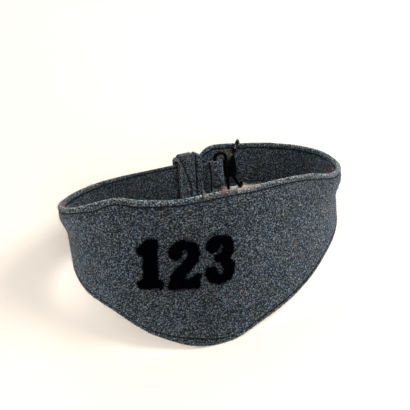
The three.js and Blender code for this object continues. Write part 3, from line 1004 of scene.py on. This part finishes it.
def makeTab():
    line = tabLine()
    half = tab["thickness"] / 2
    count = len(line)
    lengths = [0]
    for before, after in zip(line, line[1:]):
        lengths.append(lengths[-1] + (after - before).length)
    heights = roundedSteps(tab["bottom"], tab["top"], half, tab["endTurns"], tab["heightSteps"])

    def place(rise, around):
        height = heights[rise]
        around = around % (2 * count)
        index = around if around < count else 2 * count - 1 - around
        side = 1 if around < count else -1
        nearLeaf = 1 if index < count / 2 else 0
        here = line[index]
        ahead = line[min(index + 1, count - 1)] - line[max(index - 1, 0)]
        across = Vector((ahead.y, -ahead.x)).normalized()
        fromEnd = min(lengths[index], lengths[-1] - lengths[index])
        fromCut = min(height - tab["bottom"], tab["top"] - height)
        thin = roundedEnd(fromEnd, half) * roundedEnd(fromCut, half)
        slant = tabSlant(here.x)
        foot = min(1.3 * bump(height, slant, 0.8), 1) * smoothStep(here.x, -1.8, -0.8)
        sewn = nearLeaf * max(bump(here.x, tabSeam(height), 0.65), foot)
        wobble = 0.22 * noiseAt(lengths[index] / 5, height / 6, 4)
        nap = napAt(lengths[index], height, side * 9)
        spot = here + across * (side * thin * (half - 0.5 * sewn + nap) + thin * wobble)
        low = 1 - smoothStep(height, -25.5, -21)
        # The tab is painted lighter: painted light where it lies in shade between the keeper and the buckle,
        # most at its left part, and paler with dust below the slanted seam. Its sewn lines get painted shade.
        pale = 0.5 + 0.5 * (1 - smoothStep(here.x, -2.6, 0)) + 2.2 * smoothStep(slant - height, 0.7, 1.5)
        masks = {
            "seam": sewn,
            "hem": 0.25 * (1 - smoothStep(fromCut, 0.3, 1.6)),
            "shadeAndTone": -pale,
            "rose": 0.35 * low * smoothStep(here.x, 0.5, 4),
            "fuzzy": 1 - min(1, 1.8 * sewn),
        }
        return onBuckle(spot.x, spot.y, height), masks

    piece = gridMesh("cloth_tab", len(heights) - 1, 2 * count, place, clothMasks)
    return dress(piece, woolMaterial, "wool_cloth", "buckle_tab")


tabPiece = makeTab()
print("tab made")


# The numerals: thick black felt with a rough pile, cut a little unevenly.
felt = {
    "voxel": 0.4,
    "soften": 2,
    "puff": 0.12,
    "ragged": 0.7,
    "raggedLength": 2.2,
    "rough": 0.5,
    "roughLength": 1.0,
    "dark": (0.0004, 0.0004, 0.001),
    "middle": (0.0008, 0.0008, 0.002),
    "light": (0.004, 0.004, 0.0065),
}


def makeFelt():
    material, tree, shader, place = newMaterial("blackFelt")
    fibres = useGroup(tree, fibreGroup, Vector=place, Fineness=2300.0, Drift=160.0)
    tone = maths(tree, "MULTIPLY", fibres["Fibre"], fibres["Clump"])
    rise = maths(tree, "ADD", fibres["Fibre"], fibres["Clump"])
    colour = rampOf(tree, tone, [(0.18, felt["dark"]), (0.33, felt["middle"]), (0.5, felt["light"])])
    setSurface(tree, shader, colour, rough=1.0, shine=0.0, rise=rise)
    return material


feltMaterial = makeFelt()


def makeNumeral(digit):
    node = f"numeral_{digit}"
    piece = copyNode(node, f"felt_{digit}")
    remesh = piece.modifiers.new("evenly", "REMESH")
    remesh.mode = "VOXEL"
    remesh.voxel_size = felt["voxel"] * mm
    applyModifiers(piece)
    made = readMesh(piece.data)
    for _ in range(felt["soften"]):
        bmesh.ops.smooth_vert(
            made, verts=made.verts, factor=0.5, use_axis_x=True, use_axis_y=True, use_axis_z=True
        )
    made.normal_update()
    for vertex in made.verts:
        spot = vertex.co / mm
        ragged = noise.noise(spot / felt["raggedLength"] + Vector((digit * 40, 0, 0))) * felt["ragged"]
        rough = noise.noise(spot / felt["roughLength"]) * felt["rough"]
        vertex.co += vertex.normal * (ragged + rough + felt["puff"]) * mm
    writeMesh(made, piece.data)
    dress(piece, feltMaterial, "black_felt", node)


for digit in (1, 2, 3):
    makeNumeral(digit)
print("numerals made")


# The buckle: bent wire and folded sheet metal, in black baked enamel that is worn through in places.
def makeWearGroup():
    inputs = {"Vector": None, "Spread": 260.0, "Reach": 0.6}
    tree, given, result = newGroup("enamelWear", inputs, ("Worn", "Grain"))
    patches = noiseOf(tree, given["Vector"], given["Spread"], detail=4.0, roughness=0.65)
    over = maths(tree, "SUBTRACT", patches, given["Reach"])
    tree.links.new(maths(tree, "MULTIPLY", over, 14.0, clamped=True), result["Worn"])
    tree.links.new(noiseOf(tree, given["Vector"], 2600.0, detail=3.0), result["Grain"])
    return tree


def makeEnamel():
    material, tree, shader, place = newMaterial("wornEnamel")
    reach = scaled(tree, attributeOf(tree, "rubbed"), -0.22, 0.7)
    wear = useGroup(tree, makeWearGroup(), Vector=place, Spread=300.0, Reach=reach)
    rust = rampOf(tree, wear["Grain"], [(0.45, (0.02, 0.018, 0.015)), (0.58, (0.22, 0.2, 0.16))])
    colour = mixColours(tree, wear["Worn"], (0.001, 0.001, 0.0012, 1), rust)
    setSurface(tree, shader, colour, rough=0.28, shine=0.025, rise=wear["Grain"], strength=0.5, depth=0.12)
    rough = scaled(tree, wear["Worn"], 0.45, 0.28)
    tree.links.new(rough, shader.inputs["Roughness"])
    return material


enamelMaterial = makeEnamel()
buckleParts = [
    {"part": "loop", "levels": 2, "bevel": 0, "swell": 0.05, "rubbed": 0.35},
    {"part": "frame", "levels": 2, "bevel": 0, "swell": 0.16, "rubbed": 1},
    {"part": "plate", "levels": 0, "bevel": 0.16, "swell": 0, "rubbed": 0.3},
]
rubs = {"heights": (1.8, -2.5, -17.5), "wide": 2.2}
dents = {"deep": 0.05, "long": 1.6}


def heightOf(place):
    return (roomTurn.inverted() @ (place / mm - Vector(strip["setAt"]))).z


def makeBucklePart(part):
    node = f"buckle_{part['part']}"
    piece = copyNode(node, f"enamel_{part['part']}")
    if part["levels"]:
        finer = piece.modifiers.new("rounder", "SUBSURF")
        finer.levels = part["levels"]
        finer.render_levels = part["levels"]
    if part["bevel"]:
        softer = piece.modifiers.new("softer", "BEVEL")
        softer.width = part["bevel"] * mm
        softer.segments = 3
        softer.angle_limit = math.radians(35)
    applyModifiers(piece)
    made = readMesh(piece.data)
    rubbed = made.verts.layers.float.new("rubbed")
    for vertex in made.verts:
        height = heightOf(vertex.co)
        vertex[rubbed] = part["rubbed"] * max(bump(height, rub, rubs["wide"]) for rub in rubs["heights"])
        dent = dents["deep"] * noise.noise(vertex.co / (dents["long"] * mm))
        vertex.co += vertex.normal * (part["swell"] + dent) * mm
    writeMesh(made, piece.data)
    dress(piece, enamelMaterial, "japanned_steel", node)


for part in buckleParts:
    makeBucklePart(part)
print("buckle made")


# Sewing on the keeper and the tab.
def keeperSpot(at, stop, lift):
    relief, _ = keeperRelief(at, downTo(stop))
    place = keeperStop(sectionAt(at), stop, keeper["thickness"] + relief + lift)
    return onStrip(sectionAt(at - keeper["skew"] * place.y), place.x, place.y)


def nearLine(down):
    return keeper["to"] - nearFold(down) - keeper["seamOff"]


def farLine(down):
    return keeper["from"] + farFold(down) + keeper["seamOff"]


def keeperStitchLine(side, lineAt):
    line = []
    for i in range(keeper["stitches"]):
        ends = []
        for share in ((i + 0.25) / keeper["stitches"], (i + 0.85) / keeper["stitches"]):
            stop = (side, share, side + 1)
            at = lineAt(downTo(stop))
            ends.append((keeperSpot(at, stop, 0.1), keeperSpot(at, stop, 1)))
        line.append(stitchBetween(*ends))
    return line


# Where the tab's stitches lie: the upright ones one below another, and the short ones along its foot.
tabSewing = {"top": -5.8, "count": 7, "face": -5.15, "left": 0.05, "pitch": 1.22, "feet": 3, "short": 1.15}


def tabStitch(fromX, fromHeight, toX, toHeight):
    bulge = tab["foldMiddle"][1] - tab["foldRadius"] - tab["thickness"] / 2
    away = bulge if fromX > 0 else tabSewing["face"]
    return onBuckle(fromX, away, fromHeight), onBuckle(toX, away, toHeight), Vector((0, -1, 0))


def makeSewing():
    lines = [keeperStitchLine(side, line) for side in (1, 3) for line in (nearLine, farLine)]
    upright, foot = [], []
    for i in range(tabSewing["count"]):
        top = tabSewing["top"] - band["stitchPitch"] * i
        bottom = top - stitch["length"]
        upright.append(tabStitch(tabSeam(top), top, tabSeam(bottom), bottom))
    for i in range(tabSewing["feet"]):
        left = tabSewing["left"] + tabSewing["pitch"] * i
        right = left + tabSewing["short"]
        foot.append(tabStitch(left, tabSlant(left), right, tabSlant(right)))
    makeStitches("sewn_lines", [*lines, upright, foot], threadMaterial)


# The knot that ends the keeper's sewing: a rough ring of dark thread, and tan threads across it.
knot = {
    "at": -205.6,
    "height": -21.4,
    "out": 0.25,
    "count": 18,
    "radii": (1.6, 2.05),
    "span": 1.7,
    "angles": (0.3, 1.1, 1.9, 2.7),
    "reach": 1.2,
    "rise": 0.45,
}


def makeKnot():
    section = sectionAt(knot["at"])
    face = -strip["thickness"] / 2 - strip["clearance"] - keeper["thickness"] - knot["out"]
    middle = onStrip(section, face, knot["height"])
    outward = (onStrip(section, face - 1, knot["height"]) - middle).normalized()
    along = (onStrip(sectionAt(knot["at"] + 1), face, knot["height"]) - middle).normalized()
    up = outward.cross(along)

    def around(angle, radius):
        return (along * math.cos(angle) + up * math.sin(angle)) * radius * mm

    ring, threads = [], []
    for i in range(knot["count"]):
        radius = knot["radii"][i % 2]
        start, end = (around(math.tau * turn / knot["count"], radius) for turn in (i, i + knot["span"]))
        ring.append((middle + start, middle + end, outward))
    raised = middle + outward * knot["rise"] * mm
    for angle in knot["angles"]:
        reach = around(angle, knot["reach"])
        threads.append((raised - reach, raised + reach, outward))
    makeStitches("knot_ring", [ring], threadMaterial)
    makeStitches("knot_thread", [threads], tanMaterial)


makeSewing()
makeKnot()
print("sewing made")


# Loose fibres that stand off the cloth: closed strands of three sides, scattered by geometry nodes.
strands = {
    "long": {"length": 1.9, "radius": 0.045, "bend": 0.9},
    "stray": {"length": 5.0, "radius": 0.045, "bend": 2.2},
    "pile": {"length": 0.95, "radius": 0.085, "bend": 0.3},
}
looseShades = {
    "wool": [(0.35, (0.02, 0.025, 0.03)), (0.5, (0.09, 0.105, 0.115)), (0.65, (0.24, 0.25, 0.25))],
    "rose": [(0.35, (0.30, 0.06, 0.065)), (0.55, (0.46, 0.15, 0.14)), (0.7, (0.60, 0.38, 0.33))],
    "cream": [(0.35, (0.40, 0.29, 0.22)), (0.6, (0.68, 0.55, 0.45))],
    "felt": [(0.4, (0.0003, 0.0003, 0.0009)), (0.6, (0.0012, 0.0012, 0.0024))],
}
# How each kind stands: fibres per square metre, how far they tilt, their sizes, and the mask they keep to.
fuzz = {"strand": "long", "shade": "wool", "tilt": (1.1, 1.55), "sizes": (0.5, 1.4), "mask": "fuzzy"}
caught = {"strand": "long", "cloth": "wool_band", "density": 7e6, "tilt": (1.0, 1.45), "sizes": (0.5, 1.1)}
pile = {"strand": "pile", "shade": "felt", "density": 5e6, "tilt": (0.1, 1.15), "sizes": (0.6, 1.3)}
tufts = [
    {**fuzz, "name": "band_fuzz", "cloth": "wool_band", "density": 300000, "seed": 3},
    {**fuzz, "name": "stray_fibres", "cloth": "wool_band", "strand": "stray", "density": 4500, "seed": 73},
    {**fuzz, "name": "keeper_fuzz", "cloth": "cloth_keeper", "density": 420000, "seed": 13},
    {**fuzz, "name": "tab_fuzz", "cloth": "cloth_tab", "density": 420000, "seed": 23},
    {**caught, "name": "rose_threads", "shade": "rose", "mask": "rose", "seed": 31},
    {**caught, "name": "cream_threads", "shade": "cream", "mask": "cream", "seed": 41},
    *({**pile, "name": f"felt_pile_{i}", "cloth": f"felt_{i}", "seed": 47 + 3 * i} for i in (1, 2, 3)),
]


def makeStrand(name, length, radius, bend):
    widths = (0, 1, 0.8, 0)

    def place(along, around):
        angle = math.pi * 2 / 3 * (around % 3)
        rise = along / 3
        width = radius * widths[along]
        spot = Vector((width * math.cos(angle) + bend * rise**2, width * math.sin(angle), length * rise))
        return spot * mm, {}

    return gridMesh(name, 3, 3, place)


def makeLooseFibre(name, stops):
    material, tree, shader, place = newMaterial(name)
    colour = rampOf(tree, noiseOf(tree, place, 420.0), stops)
    setSurface(tree, shader, colour, rough=1.0, shine=0.005)
    return material


def scatterTree(tuft, strand):
    tree = bpy.data.node_groups.new(tuft["name"], "GeometryNodeTree")
    for way in ("INPUT", "OUTPUT"):
        tree.interface.new_socket("Geometry", in_out=way, socket_type="NodeSocketGeometry")
    given = tree.nodes.new("NodeGroupInput")
    result = tree.nodes.new("NodeGroupOutput")
    density, seed = tuft["density"], tuft["seed"]
    if "mask" in tuft:
        painted = addNode(tree, "GeometryNodeInputNamedAttribute", {"data_type": "FLOAT"}, Name=tuft["mask"])
        density = maths(tree, "MULTIPLY", painted.outputs[0], density)
    points = addNode(
        tree, "GeometryNodeDistributePointsOnFaces", {"distribute_method": "RANDOM"}, Mesh=given.outputs[0],
        Density=density, Seed=seed,
    ).outputs
    least, most = tuft["tilt"]
    lean = addNode(
        tree, "FunctionNodeRandomValue", {"data_type": "FLOAT_VECTOR"}, Seed=seed + 1, i0=(least, 0, 0),
        i1=(most, 0, math.tau),
    )
    leaning = addNode(tree, "FunctionNodeEulerToRotation", Euler=lean.outputs[0])
    turned = addNode(
        tree, "FunctionNodeRotateRotation", {"rotation_space": "LOCAL"}, i0=points["Rotation"],
        i1=leaning.outputs[0],
    )
    small, large = tuft["sizes"]
    size = addNode(tree, "FunctionNodeRandomValue", {"data_type": "FLOAT"}, i2=small, i3=large, Seed=seed + 2)
    shape = addNode(tree, "GeometryNodeObjectInfo", i0=strand)
    placed = addNode(
        tree, "GeometryNodeInstanceOnPoints", Points=points["Points"], Instance=shape.outputs["Geometry"],
        Rotation=turned.outputs[0], Scale=size.outputs[1],
    )
    whole = addNode(tree, "GeometryNodeRealizeInstances", Geometry=placed.outputs[0])
    tree.links.new(whole.outputs[0], result.inputs[0])
    return tree


def addTuft(tuft, strand, material):
    piece = addObject(tuft["name"], bpy.data.objects[tuft["cloth"]].data)
    piece.modifiers.new("fibres", "NODES").node_group = scatterTree(tuft, strand)
    applyModifiers(piece)
    for vertex in piece.data.vertices:
        vertex.co.z = max(vertex.co.z, 0)  # none goes through the surface
    dress(piece, material, "black_felt" if tuft["shade"] == "felt" else "wool_cloth")


def addFibres():
    shapes = {name: makeStrand(f"{name}Strand", **strand) for name, strand in strands.items()}
    materials = {name: makeLooseFibre(f"loose{name.title()}", stops) for name, stops in looseShades.items()}
    for tuft in tufts:
        addTuft(tuft, shapes[tuft["strand"]], materials[tuft["shade"]])
    for shape in shapes.values():
        bpy.data.objects.remove(shape)


addFibres()
print("fibres made")


# The surface that it stands on, a warm pale one, and soft studio light from all round.
studio = {
    "floorSize": 3,
    "floorDrop": 0.05,
    "floorColour": (0.90, 0.81, 0.71),
    "speckle": 0.985,
    "sky": 0.62,
    "skyColour": (1, 1, 1, 1),
}
lamps = [
    {"name": "right", "place": (0.6, -0.1, 0.7), "size": 0.45, "power": 5.8},
    {"name": "front", "place": (0.0, -0.8, 0.45), "size": 0.5, "power": 4.6},
    {"name": "back", "place": (0.0, 0.7, 0.6), "size": 0.5, "power": 2.2},
]


def makeFloor():
    made = bmesh.new()
    bmesh.ops.create_grid(made, x_segments=2, y_segments=2, size=studio["floorSize"] / 2)
    bmesh.ops.translate(made, verts=made.verts, vec=(0, 0, -studio["floorDrop"] * mm))
    floor = asPiece("floor", made)
    material, tree, shader, place = newMaterial("paleFloor")
    pale = studio["floorColour"]
    speckle = tuple(v * studio["speckle"] for v in pale)
    colour = rampOf(tree, noiseOf(tree, place, 60.0, detail=3.0), [(0.3, speckle), (0.7, pale)])
    setSurface(tree, shader, colour, rough=0.8, shine=0.1)
    floor.data.materials.append(material)


def addLamp(lamp):
    source = bpy.data.lights.new(lamp["name"], "AREA")
    source.shape = "DISK"
    source.size = lamp["size"]
    source.energy = lamp["power"]
    aimAt(addObject(lamp["name"], source), Vector(lamp["place"]), Vector((0, 0, 0)))


def lightStudio():
    world = bpy.data.worlds.new("studio")
    world.use_nodes = True
    sky = world.node_tree.nodes["Background"]
    sky.inputs["Color"].default_value = studio["skyColour"]
    sky.inputs["Strength"].default_value = studio["sky"]
    bpy.context.scene.world = world
    for lamp in lamps:
        addLamp(lamp)
    bpy.context.scene.view_settings.view_transform = "Standard"


makeFloor()
lightStudio()
print("stage set")
